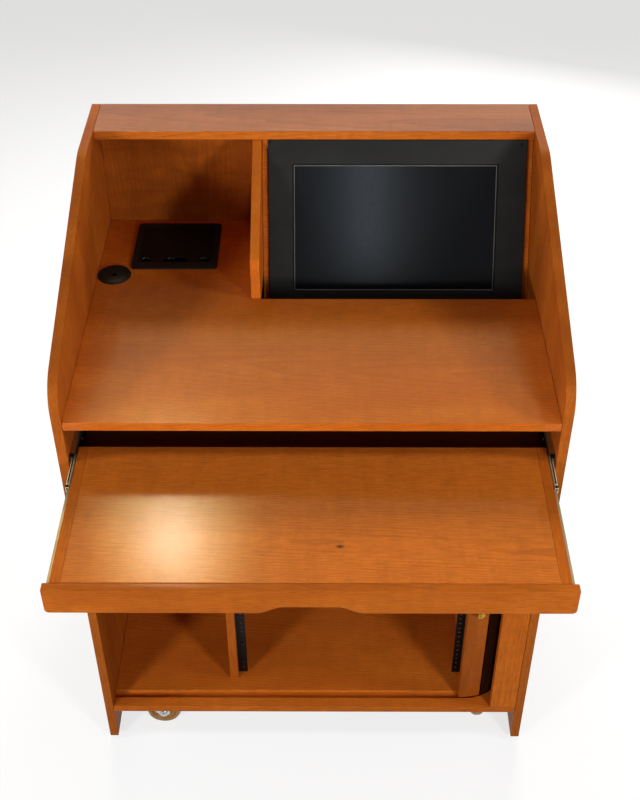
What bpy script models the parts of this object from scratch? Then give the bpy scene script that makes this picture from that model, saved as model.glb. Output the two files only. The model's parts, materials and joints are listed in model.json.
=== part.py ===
"""Multimedia lectern: a cherry-veneered cabinet with a sloped monitor bay, a pull-out keyboard tray
on telescopic slides, a rack bay behind a curved tambour door, and four swivel casters.

Metres, +Z up. X runs to the user's right, Y from the user to the back, Z up from the floor.
Lengths called depth or y below are measured back from the front edges of the side panels.
"""

import math

import bmesh
import bpy
from mathutils import Matrix, Vector

# Cabinet
WIDTH = 0.902
DEPTH = 0.700
WORK_HEIGHT = 0.936          # work surface above the floor
HOOD_RISE = 0.244            # top panel above the work surface
PANEL = 0.018                # veneered board
FOOT_GAP = 0.011             # side panels end this far above the floor
FRONT_SETBACK = 0.0006       # boards behind the front edges of the side panels
BACK_RECESS = 0.033          # rear panels behind the side panels' rear edges
EDGE = 0.0012                # eased board edges
GAP = 0.0003                 # assembly gap between pieces that touch

# Side panel outline
NOSE_RISE = 0.070            # where the slope would meet the front edge, above the work surface
NOSE_RADIUS = 0.072
BREAK_DEPTH = 0.503          # where the slope meets the flat top
BREAK_RADIUS = 0.100

# Hood and work surface
TOP_DEPTH = 0.115
MONITOR_REACH = 0.219        # monitor bay in front of the top panel
MONITOR_BAY = 0.536          # clear width between the divider and the right side panel
DIVIDER_POST = 0.084         # upright stretch of the divider's front edge
DIVIDER_RADIUS = 0.020
DIVIDER_TOP_SETBACK = 0.012  # divider behind the top panel's front edge

# Monitor
MONITOR_TILT = math.radians(26.0)
MONITOR_TOP_SETBACK = 0.010  # sloped panel behind the top panel's front edge
SCREEN_WIDTH = 0.403
SCREEN_HEIGHT = 0.250
SCREEN_SHIFT = -0.0036       # opening left of the bezel's middle
SCREEN_DROP = 0.0543         # from the sloped panel's top edge to the screen opening
SCREEN_FOOT = 0.0507         # and from the opening to the panel's lower edge
SCREEN_MARGIN = 0.013        # glass and housing beyond the opening
SCREEN_THICKNESS = 0.003
HOUSING_DEPTH = 0.045
HOUSING_FIT = 0.002
BEZEL_THICKNESS = 0.005
BEZEL_SIDE = 0.012           # wood left beside the bezel
BEZEL_END = 0.004            # wood left above and below the bezel
BEZEL_CHAMFER = 0.0025
CLEAT = 0.020                # battens behind the sloped panel

# Grommet and cable box in the work surface
GROMMET_DIAMETER = 0.066
GROMMET_RIM = 0.006
GROMMET_WALL = 0.003
GROMMET_FLANGE = 0.003
GROMMET_LENGTH = 0.024
GROMMET_SIDE_GAP = 0.0015    # from the flange to the left side panel
GROMMET_BOX_GAP = 0.0024     # from the flange to the cable box corner
GROMMET_BEARING = math.radians(33.5)
CAP_THICKNESS = 0.0024
CAP_FIT = 0.0006
CAP_HOLE = 0.011
CAP_HOLE_OFFSET = 0.003
BOX_WIDTH = 0.174
BOX_DEPTH = 0.167
BOX_BACK_GAP = 0.017
BOX_FLANGE = 0.003
BOX_CORNER = 0.009
BOX_WELL_DEPTH = 0.085
BOX_WALL = 0.0025
BOX_LEDGE = 0.006
BOX_FIT = 0.0015             # well walls inside the cut-out
LID_SIDE = 0.013             # flange beside the lid
LID_FRONT = 0.022
LID_BACK = 0.018
LID_THICKNESS = 0.0026
LID_FIT = 0.0007
SCALLOP_DEPTH = 0.016
SCALLOP_SIDE = 0.021
SCALLOP_MIDDLE = 0.048
SCALLOP_INSET = 0.003        # lid left outside the end scallops

# Keyboard tray
TRAY_DROP = 0.092            # tray top below the work surface
TRAY_BACK_GAP = 0.010
TRAY_SIDE = 0.0175
RAIL_THICKNESS = 0.0175
RAIL_HEIGHT = 0.055
RAIL_END_GAP = 0.0012
RAIL_CORNER = 0.008
RAIL_EASE = 0.002
RAIL_DECK_GAP = 0.003
SIDE_LIFT = 0.004            # tray sides end above the rail's lower edge
FINGER_FLAT = 0.088
FINGER_RUN = 0.043
FINGER_RISE = 0.015

# Telescopic slides
SLIDE_THICKNESS = 0.0127
SLIDE_HEIGHT = 0.045
SLIDE_LIFT = 0.004           # slide above the tray top
SLIDE_END_GAP = 0.020        # slide shorter than the tray side
SLIDE_METAL = 0.0012
SLIDE_RUN_GAP = 0.0004
SLIDE_STOP = 0.0022          # full extension falls this short of the slide's length
MIDDLE_SHORT = 0.020
MIDDLE_OUT = 0.083           # middle members pulled out at rest
MIDDLE_WEB = 0.005           # middle member's web from the cabinet wall
DRAWER_REACH = 0.0042        # depth of the drawer member
RACE_LIP = 0.0008            # lips that close each channel over the next one
RACE_BOW = 0.0012            # crown of the middle member's flanges
RACE_STEPS = 6

# Lower cabinet
WALL_SETBACK = 0.076         # divider and pocket wall behind the front
POCKET = 0.093               # clear width of the tambour pocket
STILE_WIDTH = 0.054
VENT_COUNT = 9
VENT_WIDTH = 0.006
VENT_LENGTH = 0.120
VENT_PITCH = 0.018
VENT_DROP = 0.060            # from the rear panel's top edge to the vents

# Rack rails
RACK_UNIT = 0.04445
RACK_HOLES = (0.00635, 0.022225, 0.0381)
RACK_HOLE_SPACING = 0.4651
RACK_HOLE_INSET = 0.01195    # hole columns from the walls
RACK_HOLE = 0.0056
RAIL_METAL = 0.002
RAIL_FLANGE = 0.020
RAIL_LEG = 0.032
RAIL_DEPTH = 0.090           # rail faces behind the front
RAIL_END_ROOM = 0.005

# Tambour door
GROOVE_WIDTH = 0.018
GROOVE_DEPTH = 0.010
TRACK_FRONT = 0.033          # groove centre line behind the front
TRACK_SIDE = 0.020           # and from the right side panel
TRACK_REAR = 0.015           # and from the rear panel
TRACK_RADIUS = 0.090
GROOVE_TAIL = 0.030
LEAD_WIDTH = 0.046
LEAD_THICKNESS = 0.016
LEAD_ROUND = 0.003
LEAD_REACH = 0.011           # lead rail past the tangent point
LEAD_CLEARANCE = 0.002
LEAD_JOINT = 0.0017          # from the lead rail to the first slat, along the track
TONGUE_THICKNESS = 0.010
SLAT_THICKNESS = 0.010
SLAT_PITCH = 0.0206
SLAT_NOTCH = 0.0014
CANVAS = 0.0012
SECTION_GAP = 0.002          # between sections of the curtain that move differently
KNOB_HEIGHT = 0.411
KNOB_RADIUS = 0.010
KNOB_LENGTH = 0.022

# Casters
CASTER_INSET_X = 0.070       # swivel axis from the side panel
CASTER_INSET_Y = 0.055       # and from the bottom panel's front and rear edges
CASTER_PLATE = 0.060
CASTER_PLATE_THICKNESS = 0.003
CASTER_BOLT = 0.007
CASTER_BOLT_INSET = 0.009
CASTER_TRAIL = 0.028
RACEWAY_RADIUS = 0.021
RACEWAY_HEIGHT = 0.0115
KINGPIN_RADIUS = 0.005
KINGPIN_HEAD = 0.008
WHEEL_RADIUS = 0.0375
WHEEL_WIDTH = 0.024
WHEEL_TOP_ROOM = 0.0077      # from the tyre to the fork's crown
AXLE_RADIUS = 0.004
FORK_METAL = 0.0025
FORK_SIDE_GAP = 0.0016
FORK_EYE = 0.009

# Places that follow from the sizes above
X_IN = WIDTH / 2 - PANEL
X_FIT = X_IN - GAP
TOP_Z = WORK_HEIGHT + HOOD_RISE
TOP_UNDER = TOP_Z - PANEL
TOP_FRONT = DEPTH - TOP_DEPTH
DESK_DEPTH = TOP_FRONT - MONITOR_REACH   # work surface in front of the monitor bay
BACK_Y = DEPTH - BACK_RECESS - PANEL
BAY_LEFT = X_IN - MONITOR_BAY
MONITOR_PANEL_LENGTH = SCREEN_DROP + SCREEN_HEIGHT + SCREEN_FOOT
TRAY_TOP = WORK_HEIGHT - TRAY_DROP
TRAY_BOTTOM = TRAY_TOP - RAIL_HEIGHT
TRAY_HALF = X_IN - SLIDE_THICKNESS
TRAY_BACK = DESK_DEPTH - PANEL - TRAY_BACK_GAP
SLIDE_FRONT = RAIL_THICKNESS + GAP
SLIDE_LENGTH = TRAY_BACK - SLIDE_FRONT - SLIDE_END_GAP
TRAY_OUT = SLIDE_LENGTH - SLIDE_STOP     # the tray rests pulled out
FRONT_Y = (TRAY_OUT - DEPTH) / 2
SLIDE_MID_Z = TRAY_TOP + SLIDE_LIFT - SLIDE_HEIGHT / 2
DECK_TOP = TRAY_BOTTOM - RAIL_DECK_GAP
DECK_UNDER = DECK_TOP - PANEL
CASTER_PLATE_TOP = 2 * WHEEL_RADIUS + WHEEL_TOP_ROOM + FORK_METAL + RACEWAY_HEIGHT + CASTER_PLATE_THICKNESS
CASTER_HEIGHT = CASTER_PLATE_TOP + GAP
FLOOR_TOP = CASTER_HEIGHT + PANEL
RACK_OPENING = RACK_HOLE_SPACING + 2 * RACK_HOLE_INSET
WALL_X = X_IN - POCKET - PANEL
DIVIDER_X = WALL_X - RACK_OPENING
TRACK_X = X_IN - TRACK_SIDE - TRACK_RADIUS
TRACK_BACK = BACK_Y - TRACK_REAR
QUARTER = math.pi / 2 * TRACK_RADIUS
SIDE_RUN = TRACK_BACK - TRACK_FRONT - 2 * TRACK_RADIUS
CURTAIN = TRACK_X + X_IN + QUARTER - GAP
SLAT_FOOT = FLOOR_TOP - GROOVE_DEPTH + GAP
SLAT_HEAD = DECK_UNDER + GROOVE_DEPTH - GAP
GROMMET_R = GROMMET_DIAMETER / 2
GROMMET_BORE = GROMMET_R - GROMMET_RIM
GROMMET_X = -X_IN + GROMMET_SIDE_GAP + GROMMET_R
BOX_X0 = GROMMET_X + (GROMMET_R + GROMMET_BOX_GAP) * math.cos(GROMMET_BEARING)
BOX_Y1 = BACK_Y - BOX_BACK_GAP
BOX_Y0 = BOX_Y1 - BOX_DEPTH
GROMMET_Y = BOX_Y0 - (GROMMET_R + GROMMET_BOX_GAP) * math.sin(GROMMET_BEARING)

ROUND_STEPS = 24
ARC_STEPS = 8


def clear_scene():
    for obj in list(bpy.data.objects):
        bpy.data.objects.remove(obj, do_unlink=True)


def finish(name, colour, roughness, metallic=0.0):
    """A Principled material with a plain colour."""
    mat = bpy.data.materials.new(name)
    mat.use_nodes = True
    shader = mat.node_tree.nodes["Principled BSDF"]
    shader.inputs["Base Color"].default_value = (*colour, 1.0)
    shader.inputs["Roughness"].default_value = roughness
    shader.inputs["Metallic"].default_value = metallic
    mat.diffuse_color = (*colour, 1.0)
    return mat


def empty(name, parent=None, location=(0, 0, 0), rotation=(0, 0, 0)):
    obj = bpy.data.objects.new(name, None)
    bpy.context.scene.collection.objects.link(obj)
    obj.parent = parent
    obj.location = location
    obj.rotation_euler = rotation
    return obj


def solid(name, bm, mat, parent, location=(0, 0, 0), rotation=(0, 0, 0), smooth=None):
    """Turns a bmesh into a named object, with its faces pointing out."""
    bmesh.ops.recalc_face_normals(bm, faces=bm.faces[:])
    mesh = bpy.data.meshes.new(name)
    bm.to_mesh(mesh)
    bm.free()
    if mat:
        mesh.materials.append(mat)
    if smooth:
        mesh.shade_smooth()
        mesh.set_sharp_from_angle(angle=smooth)
    obj = bpy.data.objects.new(name, mesh)
    bpy.context.scene.collection.objects.link(obj)
    obj.parent = parent
    obj.location = location
    obj.rotation_euler = rotation
    return obj


def ease(obj, width, segments=1):
    """Eases the sharp edges of a board."""
    bevel = obj.modifiers.new("eased_edges", "BEVEL")
    bevel.width = width
    bevel.segments = segments
    bevel.limit_method = "ANGLE"
    bevel.angle_limit = math.radians(40)
    return obj


def combine(obj, tool, operation):
    """Cuts, joins or trims a piece with a helper solid that is not a piece itself."""
    tool.hide_render = True
    tool.display_type = "WIRE"
    mod = obj.modifiers.new(tool.name, "BOOLEAN")
    mod.operation = operation
    mod.object = tool
    mod.solver = "EXACT"
    return obj


def prism(outline, lo, hi, plane):
    """An outline in the plane XY, YZ or XZ, carried from lo to hi along the third axis."""
    place = {
        "XY": lambda a, b, c: (a, b, c),
        "YZ": lambda a, b, c: (c, a, b),
        "XZ": lambda a, b, c: (a, c, b),
    }[plane]
    bm = bmesh.new()
    face = bm.faces.new([bm.verts.new(place(a, b, lo)) for a, b in outline])
    grown = bmesh.ops.extrude_face_region(bm, geom=[face])
    top = [item for item in grown["geom"] if isinstance(item, bmesh.types.BMVert)]
    bmesh.ops.translate(bm, verts=top, vec=Vector(place(0, 0, hi - lo)))
    return bm


def turned(profile, steps=ROUND_STEPS, closed=False):
    """A turned form about Z. The profile holds (radius, z) points. Closed profiles make rings."""
    bm = bmesh.new()
    rings = []
    for radius, z in profile:
        if radius == 0:
            rings.append([bm.verts.new((0, 0, z))] * steps)
            continue
        ring = []
        for step in range(steps):
            angle = 2 * math.pi * step / steps
            ring.append(bm.verts.new((radius * math.cos(angle), radius * math.sin(angle), z)))
        rings.append(ring)
    pairs = list(zip(rings, rings[1:]))
    if closed:
        pairs.append((rings[-1], rings[0]))
    for low, high in pairs:
        for step in range(steps):
            after = (step + 1) % steps
            corners = [low[step], low[after], high[after], high[step]]
            bm.faces.new(list(dict.fromkeys(corners)))
    return bm


def box(x, y, z):
    """A block between the given pairs of limits."""
    return prism(rectangle(x, y), z[0], z[1], "XY")


def rectangle(a, b):
    return [(a[0], b[0]), (a[1], b[0]), (a[1], b[1]), (a[0], b[1])]


def board(name, x, y, z, mat, parent, edge=EDGE, segments=2):
    """A flat board with eased edges, with its origin at its middle."""
    middle = [(lo + hi) / 2 for lo, hi in (x, y, z)]
    spans = [(lo - mid, hi - mid) for (lo, hi), mid in zip((x, y, z), middle)]
    return ease(solid(name, box(*spans), mat, parent, middle), edge, segments)


def arc(centre, radius, start, end, steps=ARC_STEPS):
    points = []
    for step in range(steps + 1):
        angle = start + (end - start) * step / steps
        points.append((centre[0] + radius * math.cos(angle), centre[1] + radius * math.sin(angle)))
    return points


def filleted(corners, steps=ARC_STEPS):
    """An outline from (a, b, radius) corners, with an arc at each corner whose radius isn't zero."""
    points = []
    count = len(corners)
    for index, (a, b, radius) in enumerate(corners):
        here = Vector((a, b))
        if radius == 0:
            points.append((a, b))
            continue
        back = (Vector(corners[index - 1][:2]) - here).normalized()
        ahead = (Vector(corners[(index + 1) % count][:2]) - here).normalized()
        half = back.angle(ahead) / 2
        centre = here + (back + ahead).normalized() * (radius / math.sin(half))
        start = here + back * (radius / math.tan(half)) - centre
        end = here + ahead * (radius / math.tan(half)) - centre
        first = math.atan2(start.y, start.x)
        turn = (math.atan2(end.y, end.x) - first + math.pi) % (2 * math.pi) - math.pi
        points += arc(centre, radius, first, first + turn, steps)
    return points


def rounded(a, b, radius, steps=4):
    """A rectangle with rounded corners."""
    return filleted([(u, v, radius) for u, v in rectangle(a, b)], steps)


def side_panels(wood, root):
    nose = WORK_HEIGHT + NOSE_RISE
    outline = filleted([
        (0, FOOT_GAP, 0),
        (0, nose, NOSE_RADIUS),
        (BREAK_DEPTH, TOP_Z, BREAK_RADIUS),
        (DEPTH, TOP_Z, 0),
        (DEPTH, FOOT_GAP, 0),
    ])
    for name, x in (("side_panel_left", -WIDTH / 2), ("side_panel_right", X_IN)):
        ease(solid(name, prism(outline, 0, PANEL, "YZ"), wood, root, (x, 0, 0)), EDGE, 2)


def hood(wood, root):
    board("top_panel", (-X_FIT, X_FIT), (TOP_FRONT, DEPTH), (TOP_UNDER, TOP_Z), wood, root)
    board("upper_back_panel", (-X_FIT, X_FIT), (BACK_Y, BACK_Y + PANEL),
          (DECK_TOP + GAP, TOP_UNDER - GAP), wood, root)
    front = DESK_DEPTH - FRONT_SETBACK
    outline = filleted([
        (front, WORK_HEIGHT + GAP, 0),
        (front, WORK_HEIGHT + DIVIDER_POST, DIVIDER_RADIUS),
        (TOP_FRONT + DIVIDER_TOP_SETBACK, TOP_UNDER - GAP, 0),
        (BACK_Y - GAP, TOP_UNDER - GAP, 0),
        (BACK_Y - GAP, WORK_HEIGHT + GAP, 0),
    ])
    divider = prism(outline, -PANEL, 0, "YZ")
    ease(solid("upper_divider", divider, wood, root, (BAY_LEFT, 0, 0)), EDGE, 2)


def work_surface(wood, root):
    """An L-shaped top: full depth beside the monitor bay, cut short in front of it."""
    outline = [
        (-X_FIT, FRONT_SETBACK),
        (X_FIT, FRONT_SETBACK),
        (X_FIT, DESK_DEPTH),
        (BAY_LEFT, DESK_DEPTH),
        (BAY_LEFT, BACK_Y - GAP),
        (-X_FIT, BACK_Y - GAP),
    ]
    top = solid("work_surface", prism(outline, -PANEL, 0, "XY"), wood, root, (0, 0, WORK_HEIGHT))
    ease(top, EDGE, 2)
    inset = LID_SIDE - BOX_LEDGE
    hole = rectangle((BOX_X0 + inset, BOX_X0 + BOX_WIDTH - inset), (BOX_Y0 + inset, BOX_Y1 - inset))
    cut = solid("cable_box_hole", prism(hole, -2 * PANEL, PANEL, "XY"), None, root, (0, 0, WORK_HEIGHT))
    combine(top, cut, "DIFFERENCE")
    bore = GROMMET_BORE + GROMMET_WALL + GAP
    ring = arc((GROMMET_X, GROMMET_Y), bore, 0, 2 * math.pi, ROUND_STEPS)[:-1]
    cut = solid("grommet_hole", prism(ring, -2 * PANEL, PANEL, "XY"), None, root, (0, 0, WORK_HEIGHT))
    combine(top, cut, "DIFFERENCE")
    board("tray_bay_back", (-X_FIT, X_FIT), (DESK_DEPTH - PANEL, DESK_DEPTH),
          (DECK_TOP + GAP, WORK_HEIGHT - PANEL - GAP), wood, root, segments=1)


def monitor(wood, black, glass, root):
    """The sloped panel and what it carries. Y is depth behind its front face, -Z is down the slope."""
    origin = (BAY_LEFT + MONITOR_BAY / 2, TOP_FRONT + MONITOR_TOP_SETBACK, TOP_UNDER - GAP)
    frame = empty("monitor_slope", root, origin, (-MONITOR_TILT, 0, 0))
    half = MONITOR_BAY / 2 - GAP
    screen_x = (SCREEN_SHIFT - SCREEN_WIDTH / 2, SCREEN_SHIFT + SCREEN_WIDTH / 2)
    screen_z = (-SCREEN_DROP - SCREEN_HEIGHT, -SCREEN_DROP)

    def grown(margin):
        return [(lo - margin, hi + margin) for lo, hi in (screen_x, screen_z)]

    panel = solid("monitor_panel", box((-half, half), (0, PANEL), (-MONITOR_PANEL_LENGTH, 0)), wood, frame)
    ease(panel, EDGE)
    x, z = grown(SCREEN_MARGIN + HOUSING_FIT)
    cut = solid("monitor_panel_hole", box(x, (-PANEL, 2 * PANEL), z), None, frame)
    combine(panel, cut, "DIFFERENCE")

    across = (-half + BEZEL_SIDE, half - BEZEL_SIDE)
    down = (-MONITOR_PANEL_LENGTH + BEZEL_END, -BEZEL_END)
    bezel = prism(rectangle(across, down), -GAP - BEZEL_THICKNESS, -GAP, "XZ")
    bezel = ease(solid("monitor_bezel", bezel, black, frame), EDGE)
    combine(bezel, bezel_opening(frame, screen_x, screen_z), "DIFFERENCE")

    x, z = grown(SCREEN_MARGIN)
    solid("monitor_screen", box(x, (0, SCREEN_THICKNESS), z), glass, frame)
    back = SCREEN_THICKNESS + GAP
    housing = box(x, (back, back + HOUSING_DEPTH), z)
    ease(solid("monitor_housing", housing, black, frame), 3 * EDGE)
    cleat_z = (-MONITOR_PANEL_LENGTH + CLEAT, -2 * CLEAT)
    for name, side in (("monitor_cleat_left", -1), ("monitor_cleat_right", 1)):
        x = sorted((side * half, side * (half - CLEAT)))
        board(name, x, (PANEL + GAP, PANEL + GAP + CLEAT), cleat_z, wood, frame, segments=1)


def bezel_opening(frame, screen_x, screen_z):
    """A cutter that widens towards the front, which leaves a chamfer round the screen."""
    bm = prism(rectangle(screen_x, screen_z), -2 * BEZEL_THICKNESS, BEZEL_THICKNESS, "XZ")
    middle_x = sum(screen_x) / 2
    middle_z = sum(screen_z) / 2
    for vert in bm.verts:
        flare = BEZEL_CHAMFER * (-GAP - vert.co.y) / BEZEL_THICKNESS
        vert.co.x += math.copysign(flare, flare * (vert.co.x - middle_x))
        vert.co.z += math.copysign(flare, flare * (vert.co.z - middle_z))
    return solid("bezel_opening", bm, None, frame)


def grommet(plastic, root):
    place = (GROMMET_X, GROMMET_Y, WORK_HEIGHT)
    bore = GROMMET_BORE
    seat = bore - GROMMET_WALL
    cap_low = GROMMET_FLANGE - CAP_THICKNESS
    ring = turned([
        (GROMMET_R, GAP),
        (GROMMET_R, GROMMET_FLANGE * 0.5),
        (GROMMET_R - GROMMET_FLANGE * 0.5, GROMMET_FLANGE),
        (bore, GROMMET_FLANGE),
        (bore, cap_low - GAP),
        (seat, cap_low - GAP),
        (seat, -GROMMET_LENGTH),
        (bore + GROMMET_WALL, -GROMMET_LENGTH),
        (bore + GROMMET_WALL, GAP),
    ], closed=True)
    solid("grommet_ring", ring, plastic, root, place, smooth=math.radians(35))
    rim = bore - CAP_FIT
    cap = turned([
        (0, cap_low),
        (rim, cap_low),
        (rim, GROMMET_FLANGE),
        (rim - CAP_THICKNESS, GROMMET_FLANGE + CAP_THICKNESS * 0.3),
        (0, GROMMET_FLANGE + CAP_THICKNESS * 0.3),
    ])
    cap = solid("grommet_cap", cap, plastic, root, place, smooth=math.radians(35))
    hole = arc((0, -CAP_HOLE_OFFSET), CAP_HOLE / 2, 0, 2 * math.pi, 12)[:-1]
    cut = solid("grommet_cap_hole", prism(hole, -GROMMET_FLANGE, 3 * GROMMET_FLANGE, "XY"), None, root, place)
    combine(cap, cut, "DIFFERENCE")


def cable_box(metal, root):
    """A flanged well in the work surface, with a lid hinged along its rear edge."""
    x0, x1 = BOX_X0, BOX_X0 + BOX_WIDTH
    flange = rounded((x0, x1), (BOX_Y0, BOX_Y1), BOX_CORNER)
    body = solid("cable_box_body", prism(flange, GAP, BOX_FLANGE, "XY"), metal, root, (0, 0, WORK_HEIGHT))
    ease(body, BOX_FLANGE * 0.3)
    lid_x = (x0 + LID_SIDE, x1 - LID_SIDE)
    lid_y = (BOX_Y0 + LID_FRONT, BOX_Y1 - LID_BACK)
    outer = LID_SIDE - BOX_LEDGE + BOX_FIT
    shell_x = (x0 + outer, x1 - outer)
    shell_y = (BOX_Y0 + outer, BOX_Y1 - outer)
    shell = box(shell_x, shell_y, (-BOX_WELL_DEPTH, BOX_FLANGE * 0.5))
    combine(body, solid("cable_box_shell", shell, None, root, (0, 0, WORK_HEIGHT)), "UNION")
    recess = box(lid_x, lid_y, (BOX_FLANGE - LID_THICKNESS - GAP, 2 * BOX_FLANGE))
    combine(body, solid("cable_box_recess", recess, None, root, (0, 0, WORK_HEIGHT)), "DIFFERENCE")
    well_x = (lid_x[0] + BOX_LEDGE, lid_x[1] - BOX_LEDGE)
    well_y = (lid_y[0] + BOX_LEDGE, lid_y[1] - BOX_LEDGE)
    well = box(well_x, well_y, (-BOX_WELL_DEPTH + BOX_WALL, 2 * BOX_FLANGE))
    combine(body, solid("cable_box_well", well, None, root, (0, 0, WORK_HEIGHT)), "DIFFERENCE")
    cable_box_lid(metal, root, lid_x, lid_y)


def cable_box_lid(metal, root, lid_x, lid_y):
    """A plate with a rolled rear edge on the hinge axis and cable scallops in its front edge."""
    roll = LID_THICKNESS / 2
    axis_y = lid_y[1] - LID_FIT - roll
    axis_z = WORK_HEIGHT + BOX_FLANGE - roll
    hinge = empty("cable_lid_hinge", root, ((lid_x[0] + lid_x[1]) / 2, axis_y, axis_z))
    half = (lid_x[1] - lid_x[0]) / 2 - LID_FIT
    front = lid_y[0] + LID_FIT - axis_y
    section = [(front, -roll)] + arc((0, 0), roll, -math.pi / 2, math.pi / 2, 6) + [(front, roll)]
    lid = solid("cable_box_lid", prism(section, -half, half, "YZ"), metal, hinge)
    side = half - SCALLOP_INSET - SCALLOP_SIDE / 2
    scallops = ((-side, SCALLOP_SIDE), (0, SCALLOP_MIDDLE), (side, SCALLOP_SIDE))
    for index, (middle, width) in enumerate(scallops):
        across = (middle - width / 2, middle + width / 2)
        notch = rounded(across, (front - SCALLOP_DEPTH, front + SCALLOP_DEPTH), SCALLOP_DEPTH * 0.4)
        cut = solid(f"cable_lid_scallop_{index}", prism(notch, -3 * roll, 3 * roll, "XY"), None, hinge)
        combine(lid, cut, "DIFFERENCE")


def tray(wood, parent):
    """The tray in its shut place. Its parent carries it out."""
    half = X_IN - RAIL_END_GAP
    rail = prism(rail_outline(half), 0, RAIL_THICKNESS, "XZ")
    ease(solid("tray_front_rail", rail, wood, parent, (0, 0, TRAY_BOTTOM)), RAIL_EASE, 2)
    inner = TRAY_HALF - TRAY_SIDE
    y = (RAIL_THICKNESS + GAP, TRAY_BACK)
    field_z = (TRAY_TOP - PANEL, TRAY_TOP)
    board("tray_panel", (-inner + GAP, inner - GAP), y, field_z, wood, parent, EDGE * 0.4)
    side_z = (TRAY_BOTTOM + SIDE_LIFT, TRAY_TOP)
    board("tray_side_left", (-TRAY_HALF, -inner), y, side_z, wood, parent, EDGE * 0.4)
    board("tray_side_right", (inner, TRAY_HALF), y, side_z, wood, parent, EDGE * 0.4)


def rail_outline(half):
    """The rail seen from the front: rounded lower ends and a finger cut-out with S-shaped ends."""
    points = [(half, RAIL_HEIGHT), (-half, RAIL_HEIGHT)]
    points += arc((-half + RAIL_CORNER, RAIL_CORNER), RAIL_CORNER, math.pi, 1.5 * math.pi, 4)
    flat = FINGER_FLAT / 2
    for side in (-1, 1):
        for step in range(ARC_STEPS + 1):
            share = step / ARC_STEPS if side < 0 else 1 - step / ARC_STEPS
            rise = FINGER_RISE * (1 - math.cos(math.pi * share)) / 2
            points.append((side * (flat + FINGER_RUN * (1 - share)), rise))
    points += arc((half - RAIL_CORNER, RAIL_CORNER), RAIL_CORNER, -0.5 * math.pi, 0, 4)
    return points


def channel(web, reach, half, bow=0.0):
    """A C-shaped section open towards reach, as (distance from the cabinet wall, height) points.

    Its flanges may bow outwards as a ball race does, and end in small lips.
    """
    metal = math.copysign(SLIDE_METAL, reach - web)
    steps = RACE_STEPS if bow else 1

    def flange(start, end, height):
        shares = [step / steps for step in range(steps + 1)]
        return [(start + (end - start) * share, height - bow * (2 * share - 1) ** 2) for share in shares]

    lip = half - SLIDE_METAL - bow - RACE_LIP
    upper = flange(web, reach, half)
    upper += [(reach, lip), (reach - metal, lip)]
    upper += flange(reach - metal, web + metal, half - SLIDE_METAL)
    return upper + [(distance, -height) for distance, height in reversed(upper)]


def slides(zinc, root, tray_parent):
    """Three nested channels a side. The lips of each one close over the next."""
    step = SLIDE_METAL + SLIDE_RUN_GAP
    drawer_web = SLIDE_THICKNESS - GAP
    outer = SLIDE_HEIGHT / 2
    middle = outer - step - RACE_LIP
    inner = middle - step - RACE_LIP - RACE_BOW
    sections = {
        "cabinet": channel(GAP, drawer_web - 2 * step, outer),
        "middle": channel(MIDDLE_WEB, drawer_web - step, middle, RACE_BOW),
        "drawer": channel(drawer_web, drawer_web - DRAWER_REACH, inner),
    }
    for side, sign in (("left", -1), ("right", 1)):
        for member, section in sections.items():
            outline = [(sign * (X_IN - reach), SLIDE_MID_Z + height) for reach, height in section]
            length = SLIDE_LENGTH - (MIDDLE_SHORT if member == "middle" else 0)
            parent = tray_parent if member == "drawer" else root
            out = MIDDLE_OUT if member == "middle" else 0
            solid(f"slide_{side}_{member}_member", prism(outline, 0, length, "XZ"), zinc, parent,
                  (0, SLIDE_FRONT - out, 0), smooth=math.radians(30))


def track(along, offset):
    """A point of the tambour track: distance from the front tangent point, and offset to the outside."""
    radius = TRACK_RADIUS + offset
    if along < 0:
        return TRACK_X + along, TRACK_FRONT - offset
    if along < QUARTER:
        angle = along / TRACK_RADIUS
        return TRACK_X + radius * math.sin(angle), TRACK_FRONT + TRACK_RADIUS - radius * math.cos(angle)
    along -= QUARTER
    if along < SIDE_RUN:
        return TRACK_X + radius, TRACK_FRONT + TRACK_RADIUS + along
    along -= SIDE_RUN
    if along < QUARTER:
        angle = along / TRACK_RADIUS
        return TRACK_X + radius * math.cos(angle), TRACK_BACK - TRACK_RADIUS + radius * math.sin(angle)
    return TRACK_X - (along - QUARTER), TRACK_BACK + offset


def curtain(start, end):
    """A strip of slats on a canvas back, seen from above."""
    count = max(1, round((end - start) / SLAT_PITCH))
    pitch = (end - start) / count
    face = SLAT_THICKNESS / 2
    root = face - SLAT_THICKNESS + CANVAS
    outline = []
    for index in range(count):
        first = start + index * pitch
        if index:
            outline.append(track(first + SLAT_NOTCH / 2, root))
            outline.append(track(first + SLAT_NOTCH / 2, face))
        else:
            outline.append(track(first, face))
        last = first + pitch
        if index < count - 1:
            outline.append(track(last - SLAT_NOTCH / 2, face))
            outline.append(track(last - SLAT_NOTCH / 2, root))
        else:
            outline.append(track(last, face))
    for index in range(count, -1, -1):
        outline.append(track(start + index * pitch, -face))
    return outline


def groove_cutter(name, root, low, high):
    half = GROOVE_WIDTH / 2
    ends = (-TRACK_X - WIDTH / 2, CURTAIN - LEAD_REACH + GROOVE_TAIL)
    stops = [ends[0]]
    for corner in (0, QUARTER + SIDE_RUN):
        stops += [corner + QUARTER * step / ARC_STEPS for step in range(ARC_STEPS + 1)]
    stops.append(ends[1])
    outline = [track(stop, half) for stop in stops]
    outline += [track(stop, -half) for stop in reversed(stops)]
    return solid(name, prism(outline, low, high, "XY"), None, root)


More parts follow.
